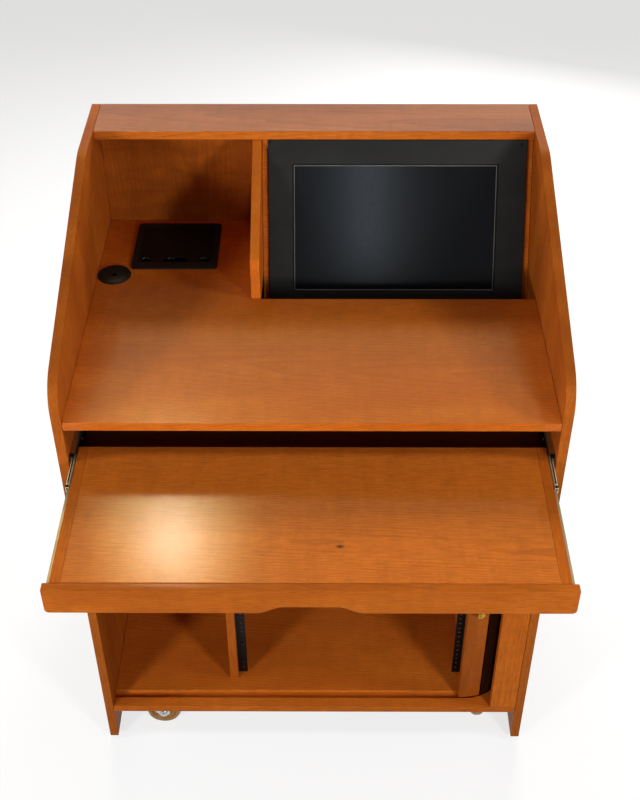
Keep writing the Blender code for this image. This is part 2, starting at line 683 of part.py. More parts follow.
def tambour(wood, brass, root):
    """The curtain in four sections. Each turns about or slides along its own stretch of the track."""
    centres = {
        "front": (TRACK_X, TRACK_FRONT + TRACK_RADIUS, 0),
        "rear": (TRACK_X, TRACK_BACK - TRACK_RADIUS, 0),
    }
    front = empty("tambour_front_axis", root, centres["front"])
    rear = empty("tambour_rear_axis", root, centres["rear"])
    gap = SECTION_GAP / 2
    lead_end = LEAD_WIDTH - LEAD_REACH
    rear_start = QUARTER + SIDE_RUN
    sections = (
        ("tambour_front_curve", lead_end + LEAD_JOINT, QUARTER - gap, front, centres["front"]),
        ("tambour_side_run", QUARTER + gap, rear_start - gap, root, (0, 0, 0)),
        ("tambour_rear_curve", rear_start + gap, rear_start + QUARTER - gap, rear, centres["rear"]),
        ("tambour_rear_run", rear_start + QUARTER + gap, CURTAIN - LEAD_REACH, root, (0, 0, 0)),
    )
    for name, start, end, parent, origin in sections:
        outline = [(x - origin[0], y - origin[1]) for x, y in curtain(start, end)]
        solid(name, prism(outline, SLAT_FOOT, SLAT_HEAD, "XY"), wood, parent)
    lead_rail(wood, brass, front, centres["front"])


def lead_rail(wood, brass, parent, origin):
    """The rail that leads the curtain, set as a chord of the track, with a knob on its face."""
    left = Vector(track(-LEAD_REACH, 0))
    right = Vector(track(LEAD_WIDTH - LEAD_REACH, 0))
    middle = (left + right) / 2
    turn = math.atan2(right.y - left.y, right.x - left.x)
    place = (middle.x - origin[0], middle.y - origin[1], 0)
    half_w = (right - left).length / 2
    half_t = LEAD_THICKNESS / 2
    outline = rounded((-half_w, half_w), (-half_t, half_t), LEAD_ROUND, 3)
    body = prism(outline, FLOOR_TOP + LEAD_CLEARANCE, DECK_UNDER - LEAD_CLEARANCE, "XY")
    rail = solid("tambour_lead_rail", body, wood, parent, place, (0, 0, turn), smooth=math.radians(40))
    inset = half_w - LEAD_ROUND
    tongue = box((-inset, inset), (-TONGUE_THICKNESS / 2, TONGUE_THICKNESS / 2), (SLAT_FOOT, SLAT_HEAD))
    combine(rail, solid("lead_rail_tongue", tongue, None, parent, place, (0, 0, turn)), "UNION")
    knob = turned([
        (0, GAP),
        (KNOB_RADIUS * 0.75, GAP),
        (KNOB_RADIUS * 0.75, KNOB_LENGTH * 0.10),
        (KNOB_RADIUS * 0.42, KNOB_LENGTH * 0.22),
        (KNOB_RADIUS * 0.42, KNOB_LENGTH * 0.42),
        (KNOB_RADIUS * 0.90, KNOB_LENGTH * 0.58),
        (KNOB_RADIUS, KNOB_LENGTH * 0.74),
        (KNOB_RADIUS * 0.88, KNOB_LENGTH * 0.90),
        (KNOB_RADIUS * 0.50, KNOB_LENGTH),
        (0, KNOB_LENGTH),
    ], 20)
    out = Matrix.Rotation(turn, 4, "Z") @ Vector((0, -half_t, 0))
    seat = (place[0] + out.x, place[1] + out.y, KNOB_HEIGHT)
    solid("tambour_knob", knob, brass, parent, seat, (math.pi / 2, 0, turn), smooth=math.radians(50))


def lower_cabinet(wood, root):
    depth = (FRONT_SETBACK, BACK_Y + PANEL)
    deck = board("cabinet_deck", (-X_FIT, X_FIT), depth, (DECK_UNDER, DECK_TOP), wood, root)
    groove = groove_cutter("deck_groove", root, DECK_UNDER - PANEL, DECK_UNDER + GROOVE_DEPTH)
    combine(deck, groove, "DIFFERENCE")
    floor = board("bottom_panel", (-X_FIT, X_FIT), depth, (CASTER_HEIGHT, FLOOR_TOP), wood, root)
    groove = groove_cutter("floor_groove", root, FLOOR_TOP - GROOVE_DEPTH, FLOOR_TOP + PANEL)
    combine(floor, groove, "DIFFERENCE")
    z = (FLOOR_TOP + GAP, DECK_UNDER - GAP)
    board("lower_divider", (DIVIDER_X - PANEL, DIVIDER_X), (WALL_SETBACK, BACK_Y - GAP), z, wood, root)
    wall_end = TRACK_BACK - GROOVE_WIDTH
    board("pocket_wall", (WALL_X, WALL_X + PANEL), (WALL_SETBACK, wall_end), z, wood, root)
    board("front_stile", (X_IN - STILE_WIDTH, X_FIT), (FRONT_SETBACK, FRONT_SETBACK + PANEL), z, wood, root)
    rear = board("rear_access_panel", (-X_FIT, X_FIT), (BACK_Y, BACK_Y + PANEL), z, wood, root)
    top = z[1] - VENT_DROP
    for index in range(VENT_COUNT):
        middle = (index - (VENT_COUNT - 1) / 2) * VENT_PITCH + (DIVIDER_X + WALL_X) / 2
        x = (middle - VENT_WIDTH / 2, middle + VENT_WIDTH / 2)
        slot = prism(rounded(x, (top - VENT_LENGTH, top), VENT_WIDTH * 0.45, 3), BACK_Y - PANEL, DEPTH, "XZ")
        combine(rear, solid(f"vent_{index}", slot, None, root), "DIFFERENCE")


def rack_rails(steel, root):
    """Two angle rails with the standard three holes to each rack unit."""
    low = FLOOR_TOP + RAIL_END_ROOM
    high = DECK_UNDER - RAIL_END_ROOM
    units = int((high - low) / RACK_UNIT)
    start = (low + high - units * RACK_UNIT) / 2
    for name, wall, inward in (("rack_rail_left", DIVIDER_X, 1), ("rack_rail_right", WALL_X, -1)):
        reach = [GAP, RAIL_FLANGE, RAIL_FLANGE, GAP + RAIL_METAL, GAP + RAIL_METAL, GAP]
        back = [0, 0, RAIL_METAL, RAIL_METAL, RAIL_LEG, RAIL_LEG]
        outline = [(wall + inward * x, RAIL_DEPTH + y) for x, y in zip(reach, back)]
        rail = solid(name, prism(outline, low, high, "XY"), steel, root)
        holes = bmesh.new()
        for unit in range(units):
            for rise in RACK_HOLES:
                centre = (wall + inward * RACK_HOLE_INSET, start + unit * RACK_UNIT + rise)
                ring = arc(centre, RACK_HOLE / 2, 0, 2 * math.pi, 6)[:-1]
                pin = prism(ring, RAIL_DEPTH - RAIL_METAL, RAIL_DEPTH + 2 * RAIL_METAL, "XZ")
                piece = bpy.data.meshes.new("hole")
                pin.to_mesh(piece)
                pin.free()
                holes.from_mesh(piece)
                bpy.data.meshes.remove(piece)
        combine(rail, solid(f"{name}_holes", holes, None, root), "DIFFERENCE")


def caster(name, chrome, tyre, root, x, y, heading):
    """A plate caster. Its fork turns on the kingpin and trails along its own +X."""
    swivel = empty(f"caster_{name}_swivel", root, (x, y, 0), (0, 0, heading))
    race_top = CASTER_PLATE_TOP - CASTER_PLATE_THICKNESS
    crown_top = race_top - RACEWAY_HEIGHT
    crown_low = crown_top - FORK_METAL
    head_top = crown_low - GAP
    plate = turned([
        (0, race_top + CASTER_PLATE_THICKNESS / 2),
        (RACEWAY_RADIUS, race_top + CASTER_PLATE_THICKNESS / 2),
        (RACEWAY_RADIUS, race_top - RACEWAY_HEIGHT * 0.7),
        (RACEWAY_RADIUS * 0.8, crown_top + GAP),
        (KINGPIN_RADIUS, crown_top + GAP),
        (KINGPIN_RADIUS, head_top),
        (KINGPIN_HEAD, head_top),
        (KINGPIN_HEAD * 0.6, head_top - FORK_METAL),
        (0, head_top - FORK_METAL),
    ], 16)
    plate = solid(f"caster_{name}_plate", plate, chrome, root, (x, y, 0), smooth=math.radians(35))
    half = CASTER_PLATE / 2
    square = prism(rounded((-half, half), (-half, half), CASTER_BOLT, 3), race_top, CASTER_PLATE_TOP, "XY")
    combine(plate, solid(f"caster_{name}_square", square, None, root, (x, y, 0)), "UNION")
    bolt = half - CASTER_BOLT_INSET
    for index, (bolt_x, bolt_y) in enumerate(rectangle((-bolt, bolt), (-bolt, bolt))):
        ring = arc((bolt_x, bolt_y), CASTER_BOLT / 2, 0, 2 * math.pi, 8)[:-1]
        cut = prism(ring, race_top - PANEL, CASTER_PLATE_TOP + PANEL, "XY")
        combine(plate, solid(f"caster_{name}_bolt_{index}", cut, None, root, (x, y, 0)), "DIFFERENCE")
    caster_fork(name, chrome, swivel, crown_top, crown_low)
    caster_wheel(name, tyre, swivel)


def caster_fork(name, chrome, swivel, crown_top, crown_low):
    """A pressed fork: a U-shaped section trimmed to its side outline, with the axle through its eyes."""
    inner = WHEEL_WIDTH / 2 + FORK_SIDE_GAP
    outer = inner + FORK_METAL
    low = WHEEL_RADIUS - FORK_EYE
    section = [
        (-outer, low), (-inner, low), (-inner, crown_low), (inner, crown_low),
        (inner, low), (outer, low), (outer, crown_top), (-outer, crown_top),
    ]
    reach = CASTER_TRAIL + FORK_EYE
    fork = solid(f"caster_{name}_fork", prism(section, -RACEWAY_RADIUS, reach, "YZ"), chrome, swivel)
    side = [(-RACEWAY_RADIUS, crown_top), (-RACEWAY_RADIUS, crown_low - FORK_METAL)]
    side += arc((CASTER_TRAIL, WHEEL_RADIUS), FORK_EYE, 1.1 * math.pi, 2.1 * math.pi, 6)
    side += [(RACEWAY_RADIUS, crown_low - FORK_METAL), (RACEWAY_RADIUS, crown_top)]
    trim = prism(side, -2 * outer, 2 * outer, "XZ")
    combine(fork, solid(f"caster_{name}_trim", trim, None, swivel), "INTERSECT")
    axle = arc((CASTER_TRAIL, WHEEL_RADIUS), AXLE_RADIUS, 0, 2 * math.pi, 12)[:-1]
    axle = prism(axle, -outer - FORK_METAL, outer + FORK_METAL, "XZ")
    combine(fork, solid(f"caster_{name}_axle", axle, None, swivel), "UNION")
    hole = arc((0, 0), KINGPIN_RADIUS + GAP, 0, 2 * math.pi, 16)[:-1]
    hole = prism(hole, crown_low - FORK_METAL, crown_top + FORK_METAL, "XY")
    combine(fork, solid(f"caster_{name}_kingpin_hole", hole, None, swivel), "DIFFERENCE")


def caster_wheel(name, tyre, swivel):
    half = WHEEL_WIDTH / 2
    crown = WHEEL_RADIUS * 0.05
    web = half * 0.55
    wheel = turned([
        (AXLE_RADIUS + GAP, -half),
        (AXLE_RADIUS * 2.4, -half),
        (AXLE_RADIUS * 2.8, -web),
        (WHEEL_RADIUS * 0.66, -web),
        (WHEEL_RADIUS * 0.74, -half),
        (WHEEL_RADIUS - crown * 2, -half),
        (WHEEL_RADIUS, -half * 0.45),
        (WHEEL_RADIUS, half * 0.45),
        (WHEEL_RADIUS - crown * 2, half),
        (WHEEL_RADIUS * 0.74, half),
        (WHEEL_RADIUS * 0.66, web),
        (AXLE_RADIUS * 2.8, web),
        (AXLE_RADIUS * 2.4, half),
        (AXLE_RADIUS + GAP, half),
    ], closed=True)
    solid(f"caster_{name}_wheel", wheel, tyre, swivel, (CASTER_TRAIL, 0, WHEEL_RADIUS),
          (math.pi / 2, 0, 0), smooth=math.radians(35))


def casters(chrome, tyre, root):
    x = X_IN - CASTER_INSET_X
    front = FRONT_SETBACK + CASTER_INSET_Y
    back = BACK_Y + PANEL - CASTER_INSET_Y
    rearward = math.pi / 2
    caster("front_left", chrome, tyre, root, -x, front, 0)
    caster("front_right", chrome, tyre, root, x, front, rearward)
    caster("rear_left", chrome, tyre, root, -x, back, rearward)
    caster("rear_right", chrome, tyre, root, x, back, rearward)


def main():
    clear_scene()
    cherry = finish("cherry_veneer", (0.43, 0.14, 0.035), 0.38)
    black = finish("black_bezel", (0.012, 0.012, 0.013), 0.35)
    glass = finish("screen_glass", (0.010, 0.012, 0.016), 0.12)
    plastic = finish("black_plastic", (0.010, 0.010, 0.011), 0.45)
    zinc = finish("zinc_steel", (0.62, 0.60, 0.55), 0.28, 1.0)
    steel = finish("black_steel", (0.014, 0.014, 0.015), 0.45)
    brass = finish("polished_brass", (0.80, 0.56, 0.20), 0.18, 1.0)
    chrome = finish("chrome", (0.75, 0.75, 0.76), 0.12, 1.0)
    tyre = finish("amber_tyre", (0.46, 0.30, 0.14), 0.35)

    root = empty("lectern", None, (0, FRONT_Y, 0))
    tray_parent = empty("tray_slide", root, (0, -TRAY_OUT, 0))
    side_panels(cherry, root)
    hood(cherry, root)
    work_surface(cherry, root)
    monitor(cherry, black, glass, root)
    grommet(plastic, root)
    cable_box(plastic, root)
    tray(cherry, tray_parent)
    slides(zinc, root, tray_parent)
    lower_cabinet(cherry, root)
    rack_rails(steel, root)
    tambour(cherry, brass, root)
    casters(chrome, tyre, root)


main()
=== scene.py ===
"""Looks of the multimedia lectern: lacquered cherry veneer, a black monitor and black fittings,
zinc slides, a brass knob and chrome casters, on a pale studio floor."""

import json
import math

import bmesh
import bpy
from mathutils import Matrix, Vector

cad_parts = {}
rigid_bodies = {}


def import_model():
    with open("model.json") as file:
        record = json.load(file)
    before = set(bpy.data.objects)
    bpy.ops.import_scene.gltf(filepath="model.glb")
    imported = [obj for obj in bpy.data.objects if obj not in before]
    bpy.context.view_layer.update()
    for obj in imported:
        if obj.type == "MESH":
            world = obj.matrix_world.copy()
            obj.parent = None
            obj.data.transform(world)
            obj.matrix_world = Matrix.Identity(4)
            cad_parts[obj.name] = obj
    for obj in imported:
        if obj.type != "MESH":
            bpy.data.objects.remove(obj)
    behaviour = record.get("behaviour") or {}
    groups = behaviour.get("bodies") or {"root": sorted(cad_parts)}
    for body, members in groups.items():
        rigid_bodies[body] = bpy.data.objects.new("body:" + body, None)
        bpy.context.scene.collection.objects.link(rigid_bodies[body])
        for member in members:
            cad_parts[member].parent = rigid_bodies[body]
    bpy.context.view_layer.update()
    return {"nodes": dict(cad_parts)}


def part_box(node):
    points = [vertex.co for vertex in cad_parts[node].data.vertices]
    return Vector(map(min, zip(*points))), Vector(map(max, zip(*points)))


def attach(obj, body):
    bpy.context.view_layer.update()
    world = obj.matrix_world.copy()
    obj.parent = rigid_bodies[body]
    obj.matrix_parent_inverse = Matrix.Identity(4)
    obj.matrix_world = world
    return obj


for old in list(bpy.data.objects):
    bpy.data.objects.remove(old)
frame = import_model()
NODES = frame["nodes"]
FRONT_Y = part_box("side_panel_left")[0].y    # front edges of the side panels
UP = Vector((0, 0, 1))


# Colours and shader nodes

MIX_FIRST, MIX_SECOND, MIX_RESULT = 6, 7, 2    # sockets of a mix node that are colours


def rgb(red, green, blue):
    """An sRGB colour as linear values."""
    def linear(level):
        level /= 255
        return level / 12.92 if level <= 0.04045 else ((level + 0.055) / 1.055) ** 2.4
    return linear(red), linear(green), linear(blue), 1.0


class Shader:
    """A material under construction. Inputs given as sockets are linked, others are set."""

    def __init__(self, name):
        self.material = bpy.data.materials.new(name)
        self.material.use_nodes = True
        self.tree = self.material.node_tree
        self.tree.nodes.clear()
        self.surface = self.add("ShaderNodeBsdfPrincipled")
        output = self.add("ShaderNodeOutputMaterial")
        self.tree.links.new(self.surface.outputs["BSDF"], output.inputs["Surface"])
        self.place = self.add("ShaderNodeTexCoord").outputs["Object"]

    def add(self, kind, inputs=None, **settings):
        node = self.tree.nodes.new(kind)
        for key, value in settings.items():
            setattr(node, key, value)
        self.feed(node, inputs or {})
        return node

    def feed(self, node, inputs):
        for key, value in inputs.items():
            socket = node.inputs[key]
            if isinstance(value, bpy.types.NodeSocket):
                self.tree.links.new(value, socket)
            else:
                socket.default_value = value

    def set(self, **inputs):
        """Feeds the surface, whose inputs are named with underscores, and gives the finished material."""
        self.feed(self.surface, {key.replace("_", " "): value for key, value in inputs.items()})
        return self.material

    def number(self, operation, *values):
        return self.add("ShaderNodeMath", dict(enumerate(values)), operation=operation).outputs[0]

    def vector(self, operation, *values):
        return self.add("ShaderNodeVectorMath", dict(enumerate(values)), operation=operation).outputs["Vector"]

    def axis(self, name):
        return self.add("ShaderNodeSeparateXYZ", {"Vector": self.place}).outputs[name]

    def noise(self, vector, stretch, detail=2.0, roughness=0.5, seed=0.0, output="Fac"):
        inputs = {"Vector": self.vector("MULTIPLY", vector, stretch), "W": seed, "Scale": 1.0, "Detail": detail,
                  "Roughness": roughness}
        return self.add("ShaderNodeTexNoise", inputs, noise_dimensions="4D").outputs[output]

    def ramp(self, value, low, high, to_low, to_high):
        inputs = {"Value": value, "From Min": low, "From Max": high, "To Min": to_low, "To Max": to_high}
        return self.add("ShaderNodeMapRange", inputs).outputs["Result"]

    def mix(self, factor, first, second):
        node = self.add("ShaderNodeMix", data_type="RGBA")
        self.feed(node, {"Factor": factor, MIX_FIRST: first, MIX_SECOND: second})
        return node.outputs[MIX_RESULT]

    def sway(self, vector, stretch, reach, seed):
        """Moves a place sideways to the grain by up to half the reach."""
        drift = self.noise(vector, stretch, 4.0, 0.55, seed, "Color")
        drift = self.vector("SUBTRACT", drift, (0.5, 0.5, 0.5))
        return self.vector("MULTIPLY_ADD", drift, (0.0, reach, reach), vector)

    def bump(self, height, strength, distance):
        inputs = {"Height": height, "Strength": strength, "Distance": distance}
        return self.add("ShaderNodeBump", inputs).outputs["Normal"]


# Lacquered cherry veneer

GRAIN_TURN = {
    "X": Matrix.Identity(3),
    "Y": Matrix.Rotation(math.radians(-90), 3, "Z"),
    "Z": Matrix.Rotation(math.radians(90), 3, "Y"),
}
LIGHT_WOOD = rgb(216, 117, 36)
BASE_WOOD = rgb(194, 96, 26)
LATE_WOOD = rgb(150, 72, 18)
FIBRE_WOOD = rgb(158, 78, 20)
PORE_WOOD = rgb(94, 44, 12)
KNOT_WOOD = rgb(54, 26, 10)
# Painted shade: dark colours that are mixed into boards for the shade they lie in; the second only on the deck's
# upper face
PAINTED_SHADE_WOOD = rgb(46, 28, 14)
PAINTED_SHADE_BOARD = rgb(96, 84, 54)

# Cells per metre along and across the grain
SLOW_SWAY, QUICK_SWAY = (1.6, 9, 9), (14, 70, 70)
BLOTCHES, PATCHES, RIPPLES = (2.2, 10, 10), (5, 30, 30), (46, 16, 16)
FIBRES, PORES = (30, 420, 420), (70, 1500, 1500)
LACQUER_FILM = (45, 45, 45)

WAVE_CYCLE = 2 * math.pi / 20    # length of one ring of a wave texture at scale 1
PAINTED_SHADE_EDGE = 0.001               # height over which a painted shade that starts at a level sets in
KNOT_SQUASH = Vector((0.55, 1, 1))


def cherry(name, grain, heart, tilt, ring, figure, tone, seed, curl=0.0, knots=(), coat=0.04, painted_shade=0.0,
           painted_shade_colour=PAINTED_SHADE_WOOD, painted_shade_from=None):
    """Veneer with its grain along one axis.

    Growth rings of one width run round a line through heart, tilted by two angles in degrees. figure is how
    strongly they show, tone moves the wood from light to dark, and curl adds ripples across the grain.
    A dark painted shade covers all of the wood, or what is above a given height.
    """
    s = Shader(name)
    turn = GRAIN_TURN[grain]
    along = s.add("ShaderNodeMapping", {"Vector": s.place, "Rotation": turn.to_euler(),
                                        "Location": -(turn @ Vector(heart))}).outputs[0]
    swayed = s.sway(along, SLOW_SWAY, 0.022, seed)
    swayed = s.sway(swayed, QUICK_SWAY, 0.0022, seed + 1)
    tilted = s.add("ShaderNodeMapping", {"Vector": swayed,
                                         "Rotation": (0, *[math.radians(t) for t in tilt])}).outputs[0]
    rings = s.add("ShaderNodeTexWave", {"Vector": tilted, "Scale": WAVE_CYCLE / ring, "Distortion": 0.0},
                  wave_type="RINGS", rings_direction="X", wave_profile="SAW").outputs["Fac"]
    blotch = s.noise(along, BLOTCHES, 3.0, 0.6, seed + 3)
    patch = s.noise(along, PATCHES, 2.0, 0.6, seed + 4)
    fibre = s.noise(along, FIBRES, 4.0, 0.65, seed + 5)
    pores = s.noise(along, PORES, 1.0, 0.5, seed + 7)
    ripple = s.noise(along, RIPPLES, 3.0, 0.6, seed + 9)

    colour = s.mix(s.ramp(blotch, 0.36, 0.64, tone, tone + 0.8), LIGHT_WOOD, BASE_WOOD)
    late = s.number("MULTIPLY", s.ramp(rings, 0.62, 1.0, 0.0, figure), s.ramp(patch, 0.36, 0.62, 0.12, 1.0))
    colour = s.mix(s.ramp(rings, 0.0, 1.0, 0.0, 0.3 * figure), colour, LATE_WOOD)
    colour = s.mix(late, colour, LATE_WOOD)
    colour = s.mix(s.ramp(fibre, 0.44, 0.70, 0.0, 0.55), colour, FIBRE_WOOD)
    colour = s.mix(s.ramp(pores, 0.60, 0.74, 0.0, 0.6), colour, PORE_WOOD)
    colour = s.mix(s.ramp(ripple, 0.40, 0.66, 0.0, 0.2), colour, LATE_WOOD)
    if curl:
        colour = s.mix(s.ramp(ripple, 0.42, 0.62, 0.0, curl), colour, FIBRE_WOOD)
    for centre, radius in knots:
        away = s.vector("MULTIPLY", s.vector("SUBTRACT", s.place, centre), tuple(turn.inverted() @ KNOT_SQUASH))
        reach = s.add("ShaderNodeVectorMath", {0: away}, operation="LENGTH").outputs["Value"]
        colour = s.mix(s.ramp(reach, radius * 0.5, radius * 2.4, 0.9, 0.0), colour, KNOT_WOOD)
    # Painted shade: the dark colour is mixed in where the board lies in shade
    if painted_shade:
        share = s.ramp(blotch, 0.3, 0.7, 0.8 * painted_shade, 1.2 * painted_shade)
        if painted_shade_from:
            above = s.ramp(s.axis("Z"), painted_shade_from - PAINTED_SHADE_EDGE, painted_shade_from, 0.0, 1.0)
            share = s.number("MULTIPLY", share, above)
        colour = s.mix(share, colour, painted_shade_colour)
    grain_height = s.number("MULTIPLY_ADD", pores, -0.7, fibre)
    film = s.noise(s.place, LACQUER_FILM, 2.0, 0.5, seed + 11)
    return s.set(
        Base_Color=colour,
        Roughness=s.ramp(fibre, 0.3, 0.7, 0.36, 0.5),
        Specular_IOR_Level=0.02,
        Coat_Weight=coat,
        Coat_Roughness=0.15,
        Normal=s.bump(grain_height, 0.16, 0.0004),
        Coat_Normal=s.bump(film, 0.05, 0.0015),
    )


# Blacks, metals, glass and tyre

GRIT = 1400.0                 # grains per metre of a fine surface
MOULDED_GRIT = 1900.0
GRIT_HEIGHT = 0.0003
DRAWN = (160, 9, 160)         # streaks along a slide
RUNNER_SHINE = (0.22, 0.36)


def plain(name, colour, second, spread, rough, bump, stretch=(90, 90, 90), metallic=0.0, grit=GRIT, **more):
    """A finish that wanders between two colours and two roughnesses, with a fine surface grit."""
    s = Shader(name)
    cloud = s.noise(s.place, stretch, 4.0, 0.6, len(name))
    fine = s.noise(s.place, (grit, grit, grit), 2.0, 0.6, len(name) + 1)
    return s.set(
        Base_Color=s.mix(s.ramp(cloud, 0.5 - spread, 0.5 + spread, 0.0, 1.0), colour, second),
        Roughness=s.ramp(cloud, 0.3, 0.7, *rough),
        Metallic=metallic,
        Normal=s.bump(fine, bump, GRIT_HEIGHT),
        **more,
    )


def screen_glass():
    """A dark matt panel with a faint blue cast that drifts across it."""
    s = Shader("screen_glass")
    drift = s.noise(s.place, (5, 2, 2), 2.0, 0.5, 2)
    weave = s.noise(s.place, (260, 260, 260), 2.0, 0.6, 4)
    return s.set(
        Base_Color=s.mix(s.ramp(drift, 0.35, 0.65, 0.0, 1.0), rgb(13, 15, 20), rgb(9, 9, 10)),
        Roughness=s.ramp(weave, 0.3, 0.7, 0.13, 0.19),
        Specular_IOR_Level=0.08,
        Normal=s.bump(weave, 0.008, 0.0004),
    )


def shaded_runner_zinc():
    """Zinc, rubbed bright in front, with painted shade behind the front of the cabinet where the runner lies in
    the tray bay.
    """
    s = Shader("shaded_runner_zinc")
    cloud = s.noise(s.place, DRAWN, 4.0, 0.6, 21)
    fine = s.noise(s.place, (GRIT, GRIT, GRIT), 2.0, 0.6, 22)
    streaks = s.ramp(cloud, 0.3, 0.7, 0.0, 1.0)
    bright = s.mix(streaks, rgb(240, 228, 188), rgb(196, 182, 142))
    # Painted shade: the runner turns dark behind the front of the cabinet, where it lies in the shade of the tray
    # bay
    runner_shade_colour = s.mix(streaks, rgb(74, 70, 58), rgb(46, 43, 36))
    runner_shade_mask = s.ramp(s.axis("Y"), FRONT_Y - 0.004, FRONT_Y + 0.022, 0.0, 1.0)
    return s.set(
        Base_Color=s.mix(runner_shade_mask, bright, runner_shade_colour),
        Roughness=s.ramp(cloud, 0.3, 0.7, *RUNNER_SHINE),
        Metallic=0.4,
        Normal=s.bump(fine, 0.06, GRIT_HEIGHT),
    )


bezel_black = plain("bezel_black", rgb(27, 26, 23), rgb(19, 18, 16), spread=0.2, rough=(0.34, 0.46), bump=0.12,
                    stretch=(9, 30, 30), Specular_IOR_Level=0.16)
plastic_black = plain("plastic_black", rgb(22, 20, 18), rgb(14, 13, 12), spread=0.15, rough=(0.36, 0.5), bump=0.25,
                      grit=MOULDED_GRIT, Specular_IOR_Level=0.16)
lid_black = plain("lid_black", rgb(11, 10, 9), rgb(7, 7, 6), spread=0.15, rough=(0.3, 0.42), bump=0.2,
                  grit=MOULDED_GRIT, Specular_IOR_Level=0.14)
rail_black = plain("rail_black", rgb(16, 15, 14), rgb(9, 9, 9), spread=0.15, rough=(0.4, 0.55), bump=0.3,
                   stretch=(40, 40, 8), Specular_IOR_Level=0.12)
# A light grey that paints highlight lines and glints on the screen's bead and the lid's lips
bead_grey = plain("bead_grey", rgb(112, 107, 100), rgb(86, 82, 77), spread=0.2, rough=(0.2, 0.3), bump=0.05,
                  stretch=(20, 20, 20))
zinc = plain("zinc", rgb(206, 196, 166), rgb(160, 148, 118), spread=0.2, rough=RUNNER_SHINE, bump=0.06,
             stretch=DRAWN, metallic=0.95)
dull_zinc = plain("dull_zinc", rgb(168, 150, 116), rgb(126, 110, 80), spread=0.2, rough=(0.4, 0.52), bump=0.06,
                  stretch=DRAWN, metallic=0.6)
bright_zinc = plain("bright_zinc", rgb(230, 218, 178), rgb(186, 172, 132), spread=0.2, rough=RUNNER_SHINE,
                    bump=0.06, stretch=DRAWN, metallic=0.4)
brass = plain("brass", rgb(214, 160, 62), rgb(128, 84, 24), spread=0.2, rough=(0.1, 0.22), bump=0.03,
              stretch=(120, 120, 120), metallic=1.0)
chrome = plain("chrome", rgb(214, 216, 219), rgb(170, 172, 176), spread=0.2, rough=(0.07, 0.2), bump=0.02,
               stretch=(60, 60, 60), metallic=1.0)
amber = plain("amber", rgb(168, 124, 62), rgb(134, 92, 40), spread=0.2, rough=(0.3, 0.45), bump=0.08,
              stretch=(70, 70, 70), Subsurface_Weight=0.25, Subsurface_Radius=(0.02, 0.012, 0.005),
              Subsurface_Scale=0.3)
glass = screen_glass()
runner = shaded_runner_zinc()


# Finish of each CAD node

TRAY_KNOT = ((0.0482, FRONT_Y - 0.2012, 0.844), 0.0022)
TOP_FACE = 1.1795                                       # only the hood's upper face gets the painted shade
DECK_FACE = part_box("cabinet_deck")[1].z - 0.0002        # and only the deck's upper face

desk_wood = cherry("cherry_desk", "X", heart=(0.0, -0.05, 0.86), tilt=(2.0, 4.0), ring=0.0065, figure=0.34,
                   tone=0.1, seed=1, coat=0.26)
# tone -0.6 makes the tray lighter than the other boards: painted light
tray_wood = cherry("cherry_tray", "X", heart=(0.2, -0.40, 0.81), tilt=(0.8, 3.2), ring=0.0052, figure=0.4,
                   tone=-0.6, seed=2, knots=(TRAY_KNOT,), coat=0.24)
# Painted shade on the hood's upper face, which makes it darker and duller
top_wood = cherry("cherry_top", "X", heart=(0.0, 0.44, 1.10), tilt=(1.0, 4.5), ring=0.0070, figure=0.45,
                  tone=0.0, seed=3, coat=0.42, painted_shade=0.48, painted_shade_from=TOP_FACE)
# Painted shade: the rail, floor, tray bay, back and side boards below have a dark colour mixed in for the shade
# they lie in
rail_wood = cherry("cherry_rail", "X", heart=(0.0, -0.45, 0.70), tilt=(2.0, 1.5), ring=0.0060, figure=0.35,
                   tone=0.1, seed=4, painted_shade=0.18)
floor_wood = cherry("cherry_floor", "X", heart=(0.1, 0.10, 0.03), tilt=(1.5, 3.5), ring=0.0065, figure=0.45,
                    tone=0.15, seed=5, painted_shade=0.10)
inner_wood = cherry("cherry_inner", "X", heart=(0.1, 0.12, 0.70), tilt=(1.5, 3.5), ring=0.0065, figure=0.45,
                    tone=0.2, seed=6, painted_shade=0.4)
# Painted shade: the deck's upper face is mixed with a dark grey-brown, for the shade under the work surface
deck_wood = cherry("cherry_deck", "X", heart=(0.1, 0.12, 0.70), tilt=(1.5, 3.5), ring=0.0065, figure=0.45,
                   tone=0.2, seed=16, painted_shade=0.8, painted_shade_colour=PAINTED_SHADE_BOARD, painted_shade_from=DECK_FACE)
back_wood = cherry("cherry_back", "Z", heart=(-0.25, 0.53, 0.9), tilt=(2.0, 2.5), ring=0.0075, figure=0.4,
                   tone=0.15, seed=7, curl=0.35, painted_shade=0.4)
side_wood = cherry("cherry_side", "Z", heart=(0.0, 0.12, 0.6), tilt=(1.5, 2.0), ring=0.0065, figure=0.35,
                   tone=0.15, seed=8, painted_shade=0.33)
stile_wood = cherry("cherry_stile", "Z", heart=(0.36, -0.12, 0.4), tilt=(1.0, 1.0), ring=0.0045, figure=0.4,
                    tone=0.0, seed=9)
# Painted shade: the slats are mixed nearly black, and the lead rail and the walls darker, for the shade they lie
# in
slat_wood = cherry("cherry_slat", "Z", heart=(0.32, -0.06, 0.4), tilt=(2.0, 1.2), ring=0.0055, figure=0.4,
                   tone=0.3, seed=14, painted_shade=0.92)
lead_wood = cherry("cherry_lead", "Z", heart=(0.30, -0.10, 0.4), tilt=(2.0, 1.2), ring=0.0055, figure=0.4,
                   tone=0.25, seed=10, painted_shade=0.32)
wall_wood = cherry("cherry_wall", "Z", heart=(0.05, 0.15, 0.4), tilt=(1.5, 2.0), ring=0.0060, figure=0.4,
                   tone=0.15, seed=11, painted_shade=0.22)
batten_wood = cherry("cherry_batten", "Y", heart=(0.0, 0.0, 0.75), tilt=(1.5, 2.0), ring=0.0050, figure=0.35,
                     tone=0.15, seed=12)
